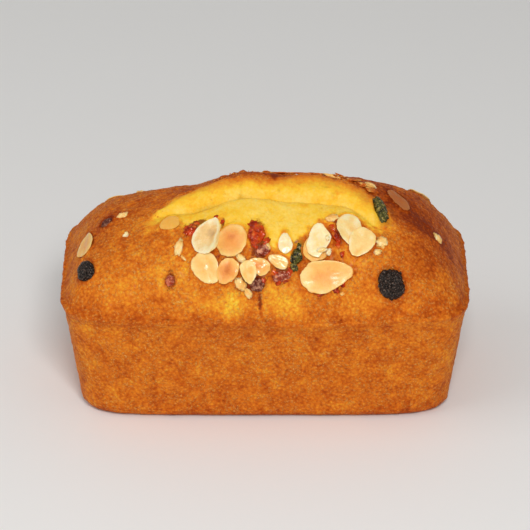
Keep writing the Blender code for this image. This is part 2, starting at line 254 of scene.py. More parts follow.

# Patches darker or lighter than the rest, from the bake and at the right end partly painted shade: place,
# reach along and across in mm, and strength
TONES = (
    (-46, 8, 26, 16, -0.08),
    (-32, -35, 9, 4, 0.06),
    (-49, -24, 8, 6, -0.06),
    (-22, -15.5, 5, 2.5, -0.08),
    (-62, -4, 10, 14, -0.10),
    (-60.5, -2.5, 4.0, 2.2, -0.20),
    (-50, -16, 14, 8, -0.02),
    # These two: the right end darker, partly a darker bake, partly painted shade
    (64, -4, 16, 24, -0.26),
    (50, 12, 14, 12, -0.12),
    (49, -18, 5, 6, 0.05),
    # The right end darker, partly a darker bake, partly painted shade
    (60, -24, 8, 12, -0.10),
    (-38, -33, 14, 5, 0.09),
    (34, -31, 8, 5, 0.06),
    (-41, -37.4, 5.0, 0.8, -0.24),
    (-42, -34.2, 1.4, 1.8, -0.22),
    (-36.0, -29.0, 3.0, 1.4, 0.06),
    (-12, -38.4, 5.0, 2.8, 0.30),
    (-20, -38.0, 5.0, 1.8, 0.10),
    (7.6, -38.6, 5.4, 3.0, 0.28),
    (1.4, -37.0, 3.0, 2.4, 0.10),
    (14.0, -35.0, 3.4, 3.0, 0.08),
    (30, -38.6, 9, 2.0, 0.03),
    (3.3, 0.8, 1.4, 2.6, -0.4),
)

# The same for the yellow crumb
BURST_TONES = (
    (0, -22, 18, 5, 0.06),
    (15.2, -12.6, 3.0, 1.6, -0.18),
    (3.4, -0.8, 1.5, 1.3, -0.7),
    (-42, -11, 6, 6, -0.10),
    (38, -10, 4, 5, -0.08),
    (-3.6, -22.6, 4.6, 3.6, -0.2),
    (7.6, -23.4, 1.6, 1.2, -0.26),
    (-17, -16.5, 4.0, 2.0, -0.1),
)

# Olive brown patches: painted shade along the crease, its folds and below its left end, and real smudges
# round the green fruit
OLIVE_STAINS_AND_SHADE = (
    (23.0, -4.8, 1.8, 1.1, 0.35),
    (25.8, -7.2, 1.2, 0.9, 0.35),
    (28.0, -4.4, 2.0, 1.0, 0.3),
    (21.6, -13.6, 0.7, 0.4, 0.6),
    (5.2, -6.4, 0.8, 0.6, 0.4),
    (-9.3, -6.0, 0.9, 2.4, 0.3),
    (-9.0, -8.6, 2.6, 0.6, 0.3),
    # These two: painted shade along the crease at the left and below it
    (-24, -9.2, 8, 1.2, 0.36),
    (-33, -12.0, 7, 2.2, 0.26),
    (42.6, -11.5, 2.2, 6.4, 0.4),
    (45.6, -17.4, 3.0, 1.8, 0.4),
    (48.0, -11.0, 2.6, 5.0, 0.3),
    (13.4, -27.4, 1.8, 2.6, 0.6),
    (10.6, -33.0, 2.0, 0.8, 0.5),
    (23.6, 29.8, 6.0, 4.4, 0.4),
)

# Sticky patches where syrup has soaked out of the fruit
SYRUPS = (
    (-28.0, -17.6, 3.6, 2.2, 1.0),
    (-24.4, -16.0, 2.6, 1.0, 0.95),
    (-18.6, -15.9, 2.0, 0.9, 0.5),
    (-15.9, -19.4, 0.9, 3.0, 0.8),
    (-17.0, -29.4, 3.0, 1.2, 0.5),
    (-3.4, -23.4, 3.4, 4.4, 0.9),
    (-1.6, -28.6, 4.0, 3.2, 1.0),
    (26.6, -19.6, 1.8, 1.4, 0.5),
    (28.2, -23.6, 1.6, 4.0, 1.0),
    (11.8, -26.6, 2.4, 1.0, 0.6),
    (9.0, -23.0, 2.6, 0.8, 0.4),
    (-4.4, -35.0, 4.6, 2.0, 1.0),
    (-1.9, -38.6, 1.0, 1.8, 0.7),
    (-0.6, -40.4, 1.2, 1.2, 0.7),
    (-9.0, -36.2, 4.0, 1.0, 0.55),
    (6.4, -34.0, 4.4, 2.2, 0.9),
    (-36.0, -33.6, 3.0, 2.8, 0.75),
    (47.9, -34.0, 7.4, 4.0, 0.3),
    (44.6, -9.5, 2.0, 6.6, 0.3),
    (20.4, -37.0, 3.0, 0.8, 0.6),
    (27.6, -36.6, 3.6, 1.0, 0.5),
    (-6.5, 34.0, 6.0, 3.4, 0.7),
    (24.0, 30.0, 6.4, 4.2, 0.4),
    (-60.5, -3.0, 3.4, 2.2, 0.6),
)

# Small sticky lumps of candied fruit: place and size in mm
JELLY = (
    (-4.2, -21.6, 3.4),
    (-1.6, -22.6, 2.8),
    (-3.4, -27.4, 3.4),
    (0.4, -26.6, 2.6),
    (1.2, -30.0, 2.6),
    (3.4, -33.8, 2.8),
    (9.2, -33.6, 2.4),
    (5.2, -35.4, 2.2),
    (7.8, -35.2, 1.8),
    (25.8, -21.8, 2.2),
    (27.6, -27.2, 2.0),
    (29.2, -29.6, 1.8),
    (-29.4, -18.0, 2.6),
    (-27.6, -17.2, 2.2),
    (-26.0, -16.2, 2.0),
    (-30.2, -19.4, 2.0),
    (-16.2, -18.6, 1.5),
    (-18.6, -15.9, 1.5),
    (-15.6, -21.6, 1.3),
    (-0.8, -35.4, 2.2),
    (-5.0, -34.4, 2.2),
    (20.6, -36.9, 1.8),
    (26.8, -36.4, 2.2),
    (29.4, -35.6, 1.6),
    (-8.8, 31.6, 2.8),
    (-3.4, 36.2, 2.4),
    (-10.6, 35.6, 2.0),
)

# Small dark green scraps of the same: place and size in mm
SCRAPS = (
    (13.4, -28.0, 2.8),
    (11.0, -32.6, 2.6),
    (10.0, -30.8, 2.4),
    (13.8, -30.4, 2.2),
    (45.8, -15.0, 2.6),
    (43.2, -7.0, 2.4),
    (27.0, 31.0, 2.4),
)

# Small chips of almond that lie on the crust and the flakes: place, length and width in mm, turn in degrees,
# and height over the crust in mm
CHIPS = (
    (25.6, -18.6, 5.0, 2.8, 20, 0.45),
    (21.4, -28.6, 3.8, 1.8, 10, 2.7),
    (24.2, -29.0, 2.6, 1.8, 60, 2.5),
    (23.8, -25.6, 2.2, 1.4, 100, 2.7),
    (1.2, -28.0, 2.6, 1.2, 120, 0.45),
    (-9.0, -30.9, 4.4, 2.6, 140, 0.45),
    (-12.9, -34.9, 1.8, 1.4, 30, 0.45),
    (4.6, -32.4, 2.0, 1.2, 160, 0.45),
    (29.2, -37.0, 1.8, 1.4, 0, 0.45),
    (25.6, 5.4, 6.4, 1.6, 168, 0.45),
    (-31.0, -28.6, 2.6, 1.0, 130, 0.45),
    (-24.0, 30.6, 2.6, 1.6, 40, 0.45),
    (10.0, 38.0, 2.4, 1.6, 10, 0.45),
    (52.0, 34.0, 2.6, 1.4, 80, 0.45),
)


def linear(red, green, blue):
    """A colour given as a screen shows it, from 0 to 255, as the linear values that a shader takes."""
    shares = [channel / 255 for channel in (red, green, blue)]
    return tuple(s / 12.92 if s <= 0.04045 else ((s + 0.055) / 1.055) ** 2.4 for s in shares)


def colour_setting(name, description, red, green, blue):
    """A colour that the panel shows."""
    default = linear(red, green, blue)
    return FloatVectorProperty(name=name, description=description, subtype="COLOR", default=default)


class CakeLook(bpy.types.PropertyGroup):
    """The sizes and colours of the cake that a user would change."""

    crumb_colour: colour_setting("Crumb", "The yellow crumb that burst through", 252, 198, 54)
    golden_colour: colour_setting("Golden crust", "The lightly baked crust", 227, 124, 30)
    brown_colour: colour_setting("Brown crust", "The well baked crust", 190, 84, 14)
    dark_colour: colour_setting("Dark crust", "The darkest edges", 134, 46, 4)
    syrup_colour: colour_setting("Syrup", "The sticky patches round the fruit", 122, 34, 6)
    almond_colour: colour_setting("Almond", "A pale almond flake", 255, 238, 194)
    toast_colour: colour_setting("Toasted almond", "A toasted flake's middle", 242, 154, 66)
    grain_height: FloatProperty(
        name="Grain height", description="How high the crust's grain stands", unit="LENGTH", default=0.22 * MM
    )
    lump_height: FloatProperty(
        name="Lump height", description="How high the crust's lumps stand", unit="LENGTH", default=0.38 * MM
    )
    cells_long: IntProperty(name="Cells along", description="Faces along the loaf", default=340, min=20)
    cells_wide: IntProperty(name="Cells across", description="Faces across the loaf", default=200, min=12)
    cells_high: IntProperty(name="Cells up", description="Faces up the loaf's wall", default=26, min=6)
    shards: IntProperty(name="Crust shards", description="Torn shards of crust along the burst", default=18)
    loose_crumbs: IntProperty(name="Loose crumbs", description="Grains of crumb along the burst", default=80)


class StudioLook(bpy.types.PropertyGroup):
    """The light, floor and camera."""

    floor_colour: FloatVectorProperty(
        name="Floor", description="The plain floor and backdrop", subtype="COLOR", default=(0.86, 0.85, 0.83)
    )
    key_power: FloatProperty(
        name="Key light", description="Power of the main light", unit="POWER", default=9.3
    )
    fill_power: FloatProperty(
        name="Fill light", description="Power of the second light", unit="POWER", default=2.4
    )
    sky_strength: FloatProperty(name="Sky", description="Strength of the even light all round", default=0.36)
    camera_lens: FloatProperty(name="Lens", description="Focal length", unit="CAMERA", default=231.9)


# The form of the loaf


def noise_at(x, y, z):
    """Blender's own noise at arrays of places."""
    x, y, z = np.broadcast_arrays(x, y, z)
    flat = np.stack([x.ravel(), y.ravel(), z.ravel()], axis=1).tolist()
    return np.array([noise.noise(place) for place in flat]).reshape(x.shape)


def grain_at(points, size, seed):
    """Noise at an array of points, with features of a size in metres."""
    return noise_at(points[:, 0] / size, points[:, 1] / size, points[:, 2] / size + seed)


def smooth_step(low, high, value):
    """0 below low, 1 above high, and an even curve between them."""
    share = np.clip((value - low) / (high - low), 0, 1)
    return share * share * (3 - 2 * share)


def bell(value, width):
    """1 at 0, and next to nothing beyond twice the width."""
    return np.exp(-((value / width) ** 2))


def crease_line(x):
    """Where across the loaf the crease in front of the bulge runs."""
    bend = CREASE_BEND * ((x - CREASE_MIDDLE) / CREASE_REACH) ** 2
    return CREASE_PLACE - bend - CREASE_DROP * smooth_step(28 * MM, 46 * MM, x)


def torn_line(x):
    """Where across the loaf the torn edge of the rear crust runs."""
    return TORN_PLACE - (x - TORN_MIDDLE) ** 2 / TORN_SPAN


def bulge_share(x):
    """1 along the middle of the bulge, fading to 0 at its two ends."""
    return 1 - smooth_step(BULGE_FULL, BULGE_END, abs(x - BULGE_MIDDLE))


def burst_height(x, y):
    """Height that the bulge, its crease and the torn crust edge add to the dome."""
    front, back = crease_line(x), torn_line(x)
    height = -CREASE_DEPTH * bell(y - front, CREASE_WIDTH)
    across = np.clip((y - front) / (back - front), 0, 1)
    height += BULGE_RISE * np.sin(np.pi * across) ** 0.7
    over_edge = np.clip((y - back) / TORN_WIDTH + 1 / 3, 0, 4 / 3)
    jagged = 0.65 + 0.6 * noise_at(x / TORN_STEP, 3.0, 0.0)
    height += TORN_RISE * jagged * np.sin(np.pi * over_edge * 3 / 4)
    return height * bulge_share(x)


def rim_height(x, y):
    """The rim's height, which wanders a little round the loaf."""
    return RIM_HEIGHT + RIM_WANDER * noise_at(x / RIM_STRETCH, y / RIM_STRETCH, 9.1)


def dome_share(x, y):
    """How much of the crown's rise the dome has at a point of the plan, from 0 at the rim to 1."""
    sag = smooth_step(SAG_START, SAG_FROM, -x) * (1 - smooth_step(SAG_TO, SAG_END, -x))
    power = np.where(y > 0, DOME_POWER_REAR, DOME_POWER_FRONT)
    along = np.clip(1 - abs(x / HALF_LENGTH) ** DOME_POWER_LONG, 0, 1) ** DOME_ROUND_LONG
    across = np.clip(1 - abs(y / HALF_WIDTH) ** power, 0, 1) ** DOME_ROUND_WIDE
    return along * across * (1 - LEFT_SAG * sag)


def crust_height(x, y):
    """Height of the top crust over a point of the plan."""
    outline = abs(x / HALF_LENGTH) ** CORNER_POWER + abs(y / HALF_WIDTH) ** CORNER_POWER
    inside = 1 - np.clip(outline ** (1 / CORNER_POWER), 0, 1) ** RELIEF_POWER
    relief = burst_height(x, y)
    for long, wide, rise, seed in SWELLS:
        relief = relief + rise * noise_at(x / long, y / wide, seed)
    return rim_height(x, y) + (CROWN_RISE * dome_share(x, y) + relief) * inside


def crust_normal(x, y):
    """The direction that points straight out of the top crust."""
    step = 1.5 * MM
    across = np.array([x + step, x - step, x, x])
    along = np.array([y, y, y + step, y - step])
    heights = crust_height(across, along)
    slope_x = (heights[0] - heights[1]) / (2 * step)
    slope_y = (heights[2] - heights[3]) / (2 * step)
    return Vector((-slope_x, -slope_y, 1)).normalized()


def wall_inset(height, rim):
    """How far the wall stands in from the lip at a height: taper, lip, and the round of lip and base."""
    inset = WALL_TAPER * (1 - height / rim)
    inset = inset + LIP_OVERHANG * (1 - smooth_step(rim - LIP_DEPTH, rim, height))
    low = np.clip(BASE_ROUND - height, 0, BASE_ROUND)
    high = np.clip(height - rim + LIP_ROUND, 0, LIP_ROUND)
    inset = inset + BASE_ROUND - np.sqrt(BASE_ROUND**2 - low**2)
    return inset + LIP_ROUND - np.sqrt(LIP_ROUND**2 - high**2)


def loaf_points(corners):
    """Moves points of the cube from -1 to 1 onto the loaf, a little closer together near the walls."""
    plan = (1 - EDGE_CLOSENESS) * corners[:, :2] + EDGE_CLOSENESS * np.sin(corners[:, :2] * np.pi / 2)
    reach = abs(plan).max(axis=1)
    pull = (abs(plan) ** CORNER_POWER).sum(axis=1) ** (1 / CORNER_POWER)
    plan = plan * (reach / np.maximum(pull, 1e-9))[:, None]
    x, y = plan[:, 0] * HALF_LENGTH, plan[:, 1] * HALF_WIDTH
    rim = rim_height(x, y)
    on_top = corners[:, 2] > 1 - 1e-6
    wall_height = rim * smooth_step(-1, 1, corners[:, 2])
    inset = np.where(on_top, LIP_ROUND * reach**LIP_POWER, wall_inset(wall_height, rim))
    height = np.where(on_top, crust_height(x, y), wall_height)
    return np.stack([plan[:, 0] * (HALF_LENGTH - inset), plan[:, 1] * (HALF_WIDTH - inset), height], axis=1)


def resting_place(x, y, turn, lift, right_up=0, rear_up=0):
    """The matrix that lays a piece on the crust at a point of the plan, tipped up and then turned."""
    normal = crust_normal(x, y)
    right = (Vector((1, 0, 0)) - normal * normal.x).normalized()
    laid = Matrix((right, normal.cross(right), normal)).transposed().to_4x4()
    tipped = Matrix.Rotation(-right_up, 4, "Y") @ Matrix.Rotation(rear_up, 4, "X")
    ground = Vector((x, y, float(crust_height(np.array([x]), np.array([y]))[0]))) + normal * lift
    return Matrix.Translation(ground) @ laid @ tipped @ Matrix.Rotation(turn, 4, "Z")


def flake_place(flake):
    """The matrix that lays a flake on the crust."""
    angles = [math.radians(angle) for angle in (flake.turn, flake.right_up, flake.rear_up)]
    return resting_place(flake.x * MM, flake.y * MM, angles[0], flake.lift * MM, *angles[1:])


def fruit_place(fruit):
    """The matrix that sets a fruit piece into the crust."""
    return resting_place(fruit.x * MM, fruit.y * MM, math.radians(fruit.turn), -fruit.sink * MM)


# Meshes


def read_points(mesh):
    """A mesh's vertices as an array."""
    points = np.empty(len(mesh.vertices) * 3)
    mesh.vertices.foreach_get("co", points)
    return points.reshape(-1, 3)


def write_points(mesh, points):
    mesh.vertices.foreach_set("co", points.ravel())
    mesh.update()


def read_normals(mesh):
    normals = np.empty(len(mesh.vertices) * 3)
    mesh.vertex_normals.foreach_get("vector", normals)
    return normals.reshape(-1, 3)


def paint(mesh, name, values):
    """Stores one number for each vertex under a name that a material can read."""
    layer = mesh.attributes.new(name, "FLOAT", "POINT")
    layer.data.foreach_set("value", np.asarray(values, dtype=np.float32))


def new_mesh(name, shape):
    """A smooth mesh made from a bmesh, with its faces pointing out."""
    bmesh.ops.recalc_face_normals(shape, faces=shape.faces)
    mesh = bpy.data.meshes.new(name)
    shape.to_mesh(mesh)
    shape.free()
    mesh.shade_smooth()
    return mesh


def new_piece(name, mesh, material, slot, *nodes):
    """An object of the finished model, which rides on the cake and stands for the nodes named."""
    piece = bpy.data.objects.new(name, mesh)
    bpy.context.scene.collection.objects.link(piece)
    mesh.materials.append(material)
    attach(piece, "root")
    if nodes:
        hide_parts(*nodes)
    return piece


def block_of_cells(long, wide, high):
    """A block from -1 to 1: a grid on top, walls drawn down from its rim in rings, and a fan underneath."""
    shape = bmesh.new()
    top = Matrix.Translation((0, 0, 1))
    bmesh.ops.create_grid(shape, x_segments=long, y_segments=wide, size=1, matrix=top)
    rim = [edge for edge in shape.edges if edge.is_boundary]
    for _ in range(high):
        drawn = bmesh.ops.extrude_edge_only(shape, edges=rim)["geom"]
        rim = [part for part in drawn if isinstance(part, bmesh.types.BMEdge) and part.is_boundary]
        lower = [part for part in drawn if isinstance(part, bmesh.types.BMVert)]
        bmesh.ops.translate(shape, vec=(0, 0, -2 / high), verts=lower)
    rim = [edge for edge in shape.edges if edge.is_boundary]
    base = bmesh.ops.contextual_create(shape, geom=rim)["faces"]
    bmesh.ops.poke(shape, faces=base)
    return shape


# Materials


class Wire:
    """A node's output, on which Python arithmetic adds Math nodes."""

    def __init__(self, finish, socket):
        self.finish = finish
        self.socket = socket

    def math(self, operation, *values):
        settings = {"operation": operation}
        return self.finish.add("ShaderNodeMath", settings, dict(enumerate(values)))

    def __add__(self, other):
        return self.math("ADD", self, other)

    def __sub__(self, other):
        return self.math("SUBTRACT", self, other)

    def __rsub__(self, other):
        return self.math("SUBTRACT", other, self)

    def __mul__(self, other):
        return self.math("MULTIPLY", self, other)

    __radd__ = __add__
    __rmul__ = __mul__

    def between(self, low, high):
        """0 at low and 1 at high, held there beyond them."""
        settings = {"interpolation_type": "SMOOTHSTEP"}
        sockets = {"Value": self, "From Min": low, "From Max": high}
        return self.finish.add("ShaderNodeMapRange", settings, sockets)


class Finish:
    """A material of named nodes, made by add() from their type, settings and sockets."""

    def __init__(self, name):
        self.material = bpy.data.materials.new(name)
        self.material.use_nodes = True
        self.tree = self.material.node_tree
        self.tree.nodes.clear()
        self.place = self.add("ShaderNodeTexCoord", {}, {}, "Object")

    def add(self, kind, settings, sockets, output=0):
        """A node of a type. Its settings are set first, then the values or links of its sockets."""
        node = self.tree.nodes.new(kind)
        for key, value in settings.items():
            if key == "stops":
                self.set_stops(node.color_ramp, value)
            else:
                setattr(node, key, value)
        for key, value in sockets.items():
            if isinstance(value, Wire):
                self.tree.links.new(value.socket, node.inputs[key])
            else:
                node.inputs[key].default_value = value
        return Wire(self, node.outputs[output]) if node.outputs else None

    def set_stops(self, ramp, stops):
        while len(ramp.elements) < len(stops):
            ramp.elements.new(0.5)
        for element, (position, colour) in zip(ramp.elements, stops):
            element.position = position
            element.color = (*colour, 1)

    def noise(self, size, detail=3, roughness=0.55, warp=0.0):
        """Noise with features of a size in metres."""
        sockets = {"Vector": self.place, "Scale": 1 / size, "Detail": detail}
        return self.add("ShaderNodeTexNoise", {}, {**sockets, "Roughness": roughness, "Distortion": warp})

    def cells(self, size, output):
        """Scattered cells of a size in metres."""
        sockets = {"Vector": self.place, "Scale": 1 / size}
        return self.add("ShaderNodeTexVoronoi", {"feature": "F1"}, sockets, output)

    def painted(self, name):
        """The numbers painted on the mesh under a name."""
        return self.add("ShaderNodeAttribute", {"attribute_name": name}, {}, "Fac")

    def blend(self, share, first, second):
        """A colour between two others."""
        pair = [value if isinstance(value, Wire) else (*value, 1) for value in (first, second)]
        settings = {"data_type": "RGBA", "clamp_factor": True}
        return self.add("ShaderNodeMix", settings, {0: share, 6: pair[0], 7: pair[1]}, 2)

    def bump(self, height, depth):
        """A normal raised by a height from 0 to 1 that stands for a depth in metres."""
        return self.add("ShaderNodeBump", {}, {"Strength": 1.0, "Distance": depth, "Height": height})

    def surface(self, sockets):
        shader = self.add("ShaderNodeBsdfPrincipled", {}, sockets)
        self.add("ShaderNodeOutputMaterial", {"is_active_output": True}, {"Surface": shader})
        return self.material


def crust_finish(look):
    """Golden crust and yellow crumb by the painted tone, with a baked grain, painted glints and sticky
    patches.
    """
    finish = Finish("baked_crust")
    tone = finish.painted("tone")
    crumb = finish.painted("crumb")
    syrup = finish.painted("syrup")
    baked = 1 - crumb
    rough_share = 0.34 + 0.66 * baked
    mottle = finish.noise(5.5 * MM, 4, 0.6) - 0.5
    grain = finish.noise(1.1 * MM, 4, 0.62, 0.6) - 0.5
    domes = 1 - finish.cells(1.3 * MM, "Distance")
    tone = tone + (mottle * 0.5 + grain * 0.6 + (domes - 0.6) * 0.28) * rough_share
    tone = tone + (finish.noise(3.6 * MM, 5, 0.66) - 0.5) * crumb * 0.34
    stops = [
        (0.0, look.dark_colour),
        (0.24, look.brown_colour),
        (0.48, look.golden_colour),
        (0.66, linear(242, 158, 42)),
        (0.84, look.crumb_colour),
        (1.0, linear(254, 214, 98)),
    ]
    colour = finish.add("ShaderNodeValToRGB", {"stops": stops}, {"Fac": tone}, "Color")

    rust = finish.noise(2.2 * MM, 4, 0.66, 0.8).between(0.56, 0.74) * baked
    colour = finish.blend(rust * 0.4, colour, linear(190, 70, 10))
    smudge = finish.noise(2.6 * MM, 5, 0.7, 0.6).between(0.6, 0.72) * crumb
    colour = finish.blend(smudge * 0.4, colour, linear(214, 136, 30))
    # Painted glints: small pale peach spots on the tops of the grain's domes and in noise, standing for
    # glints of light; they also raise the bump a little.
    painted_glints = domes.between(0.72, 0.95) + finish.noise(0.8 * MM, 3, 0.6).between(0.54, 0.66)
    painted_glints = painted_glints * finish.noise(6.0 * MM, 3).between(0.34, 0.6) * (0.15 + 0.85 * baked)
    painted_glints = painted_glints * tone.between(0.1, 0.4)
    colour = finish.blend(painted_glints * 0.5, colour, linear(255, 188, 106))

    soaked = (syrup + (finish.noise(1.4 * MM, 4, 0.65) - 0.5) * 1.2).between(0.3, 0.75)
    soaked = soaked * syrup.between(0.05, 0.25)
    colour = finish.blend(soaked * 0.85, colour, look.syrup_colour)

    # Olive brown: real smudges, and painted shade in the crease and its folds
    olive = (finish.painted("olive") * (0.4 + 1.2 * finish.noise(1.2 * MM, 4, 0.65))).between(0.05, 0.9)
    colour = finish.blend(olive * 0.8, colour, linear(146, 104, 28))

    swelling = finish.noise(1.6 * MM, 5, 0.6) * 0.8 + grain * 0.4 + domes * 0.25
    height = swelling * (0.5 + 0.5 * baked) + painted_glints * 0.25
    gloss = finish.noise(1.8 * MM, 4, 0.65).between(0.46, 0.62)
    sockets = {
        "Base Color": colour,
        "Roughness": 0.6 - 0.3 * soaked,
        "Specular IOR Level": 0.13,
        "Specular Tint": (1.0, 0.72, 0.48, 1),
        "Coat Weight": 0.06 * gloss + 0.14 * soaked,
        "Coat Roughness": 0.2,
        "Subsurface Weight": 0.12,
        "Subsurface Radius": (1.0, 0.5, 0.2),
        "Subsurface Scale": 1.6 * MM,
        "Normal": finish.bump(height, 0.9 * MM),
    }
    return finish.surface(sockets)


def almond_finish(look):
    """Glazed almond: grey and clear below a toast of 0, then cream, honey and brown, with a satin sheen."""
    finish = Finish("flaked_almond")
    mottle = finish.noise(3.0 * MM, 5, 0.62) - 0.5
    streaks = finish.noise(0.9 * MM, 4, 0.65, 1.5) - 0.5
    toast = finish.painted("toast") + mottle * 0.5 + streaks * 0.22
    stops = [
        (0.0, linear(190, 144, 92)),
        (0.16, linear(240, 196, 122)),
        (0.3, look.almond_colour),
        (0.44, linear(255, 214, 138)),
        (0.62, linear(252, 188, 96)),
        (0.82, look.toast_colour),
        (1.0, linear(206, 104, 28)),
    ]
    share = toast * 0.6 + 0.3
    colour = finish.add("ShaderNodeValToRGB", {"stops": stops}, {"Fac": share}, "Color")
    film = (finish.painted("film") + mottle * 0.8 + streaks * 0.5).between(0.25, 0.75)
    # The film's colour: yellow cake mixture, and above 0.9 browner, partly painted shade.
    batter_and_shade = finish.blend(finish.painted("film").between(0.9, 1.2), linear(244, 176, 66), linear(168, 78, 20))
    colour = finish.blend(film * 0.85, colour, batter_and_shade)
    sockets = {
        "Base Color": colour,
        "Roughness": 0.24 + 0.34 * finish.noise(1.8 * MM, 3),
        "Specular Tint": (1.0, 0.86, 0.68, 1),
        "Subsurface Weight": 0.3,
        "Subsurface Radius": (1.0, 0.6, 0.25),
        "Subsurface Scale": 1.4 * MM,
        "Coat Weight": 0.5 - 0.46 * film,
        "Coat Roughness": 0.13,
        "Normal": finish.bump(finish.noise(2.4 * MM, 4, 0.5) + streaks * 0.3, 0.28 * MM),
    }
    return finish.surface(sockets)


def fruit_finish(name, colours, patch, roughness, shine, glow, wrinkles):
    """Sticky dried or candied fruit: three mottled colours with partly painted glints, wrinkles of a depth in
    metres, and a gloss.
    """
    finish = Finish(name)
    deep, main, light = colours
    mottle = finish.noise(patch, 4, 0.6)
    colour = finish.blend(mottle.between(0.38, 0.56), deep, main)
    # The palest colour: on the raisin partly its paler wrinkles, partly painted glints.
    colour = finish.blend(finish.noise(patch * 0.6, 3).between(0.52, 0.7) * 0.8, colour, light)
    # Plum brown with pale spots that are partly painted glints.
    flesh_and_glints = finish.noise(1.7 * MM, 3, 0.55).between(0.42, 0.66)
    flesh_and_glints = finish.blend(flesh_and_glints, linear(120, 42, 28), linear(230, 162, 126))
    colour = finish.blend(finish.painted("plum"), colour, flesh_and_glints)
    wrinkle = finish.noise(1.0 * MM, 4, 0.58)
    sockets = {
        "Base Color": colour,
        "Roughness": roughness + 0.2 * finish.noise(0.9 * MM, 2),
        "Specular IOR Level": shine,
        "Specular Tint": (1.0, 0.84, 0.72, 1),
        "Subsurface Weight": glow,
        "Subsurface Radius": (1.0, 0.4, 0.1),
        "Subsurface Scale": 1.2 * MM,
        "Coat Weight": shine * finish.noise(0.8 * MM, 3).between(0.54, 0.64),
        "Coat Roughness": 0.08,
        "Normal": finish.bump(wrinkle, wrinkles),
    }
    return finish.surface(sockets)


def shard_finish(look):
    """The torn shards of crust: brown, with tan where they split."""
    finish = Finish("crust_shard")
    mottle = finish.noise(1.8 * MM, 4, 0.62)
    colour = finish.blend(mottle.between(0.38, 0.6), look.brown_colour, linear(216, 122, 40))
    colour = finish.blend(finish.noise(3.0 * MM, 3).between(0.54, 0.62) * 0.8, colour, linear(244, 186, 96))
    sockets = {
        "Base Color": colour,
        "Roughness": 0.5 + 0.2 * mottle,
        "Specular Tint": (1.0, 0.66, 0.38, 1),
        "Subsurface Weight": 0.12,
        "Subsurface Scale": 1.2 * MM,
        "Normal": finish.bump(finish.noise(0.7 * MM, 3), 0.3 * MM),
    }
    return finish.surface(sockets)


def crumb_finish(look):
    """The loose grains of yellow crumb."""
    finish = Finish("loose_crumb")
    mottle = finish.noise(0.8 * MM, 3)
    colour = finish.blend(mottle.between(0.3, 0.7), linear(196, 100, 24), linear(236, 160, 56))
    sockets = {
        "Base Color": colour,
        "Roughness": 0.65 + 0.15 * mottle,
        "Specular Tint": (1.0, 0.66, 0.38, 1),
        "Subsurface Weight": 0.15,
        "Subsurface Scale": 1.0 * MM,
        "Normal": finish.bump(finish.noise(0.35 * MM, 3), 0.1 * MM),
    }
    return finish.surface(sockets)


# Painting and shaping the crust


def patches(x, y, stains):
    """The sum of soft patches at places of the plan."""
    total = np.zeros_like(x)
    for middle_x, middle_y, long, wide, strength in stains:
        reach = ((x / MM - middle_x) / long) ** 2 + ((y / MM - middle_y) / wide) ** 2
        total += strength * np.exp(-reach)
    return total


def burst_rear(x):
    """Where across the loaf the yellow crumb ends at its rear."""
    return np.interp(x / MM, BURST_X, BURST_REAR) * MM


def crumb_share(x, y, ragged):
    """How far the burst shows yellow crumb: sharp along its torn rear edge, soft along its front."""
    along = x / MM
    front = np.interp(along, BURST_X, BURST_FRONT) * MM
    rear = burst_rear(x)
    from_front = smooth_step(-4.2 * MM, 3.6 * MM, y - front + ragged * 3.6 * MM)
    from_rear = smooth_step(-1.6 * MM, 2.0 * MM, rear - y + ragged * 1.6 * MM)
    ends = smooth_step(-52 * MM, -38 * MM, x) * smooth_step(-51 * MM, -45 * MM, -x)
    return from_front * from_rear * ends


def crust_tone(points, crumb, ragged):
    """How light each point is, from its bake and in places painted shade: 0 is dark brown, 0.5 golden and 1
    yellow crumb.
    """
    x, y, z = points.T
    slow = grain_at(points, 9 * MM, 4.0)
    top = smooth_step(50 * MM, 56 * MM, z)
    tone = 0.49 + 0.10 * slow + 0.07 * ragged + patches(x, y, TONES) * smooth_step(43 * MM, 50 * MM, z)
    wall = 1 - smooth_step(40 * MM, 48 * MM, z)
    behind = smooth_step(0, 3.6 * MM, y - burst_rear(x))
    behind *= 1 - smooth_step(8 * MM, 20 * MM, y - torn_line(x))
    behind *= smooth_step(-46 * MM, -30 * MM, x) * top
    rim = bell(z - RIM_HEIGHT, 3.5 * MM)
    base = 1 - smooth_step(0, 7 * MM, z)
    crack = bell(x - CRACK_PLACE - (z - CRACK_MIDDLE) * CRACK_LEAN, CRACK_WIDTH)
    crack *= (1 - smooth_step(57 * MM, 60 * MM, z)) * smooth_step(48 * MM, 51 * MM, z) * (y < 0)
    tone -= 0.05 * wall + 0.2 * behind + 0.10 * rim + 0.12 * base + 0.22 * crack

    past_crease = y - crease_line(x)
    across = np.clip(past_crease / np.maximum(burst_rear(x) - crease_line(x), 4 * MM), 0, 1)
    on_bulge = bulge_share(x) * smooth_step(-1 * MM, 1 * MM, past_crease) * top
    yellow = 0.91 + 0.05 * ragged + 0.10 * slow + patches(x, y, BURST_TONES)
    # The bulge turns more orange towards its torn rear edge: partly its own colour, partly painted shade
    # where it faces up, away from the light.
    yellow += (0.02 - 0.48 * across**1.7) * on_bulge
    return tone * (1 - crumb) + yellow * crumb


def press_toppings(points, normals):
    """Lowers the crust under each flake and fruit piece and swells it round them.

    Gives back how near each point is to the dark line round a topping, from 0 to 1: partly browned crust,
    partly painted shadow.
    """
    outline_and_shadow = np.zeros(len(points))
    for flake in FLAKES.values():
        outline_and_shadow = np.maximum(outline_and_shadow, press_flake(points, normals, flake))
    for fruit in FRUITS.values():
        outline_and_shadow = np.maximum(outline_and_shadow, press_fruit(points, normals, fruit))
    return outline_and_shadow


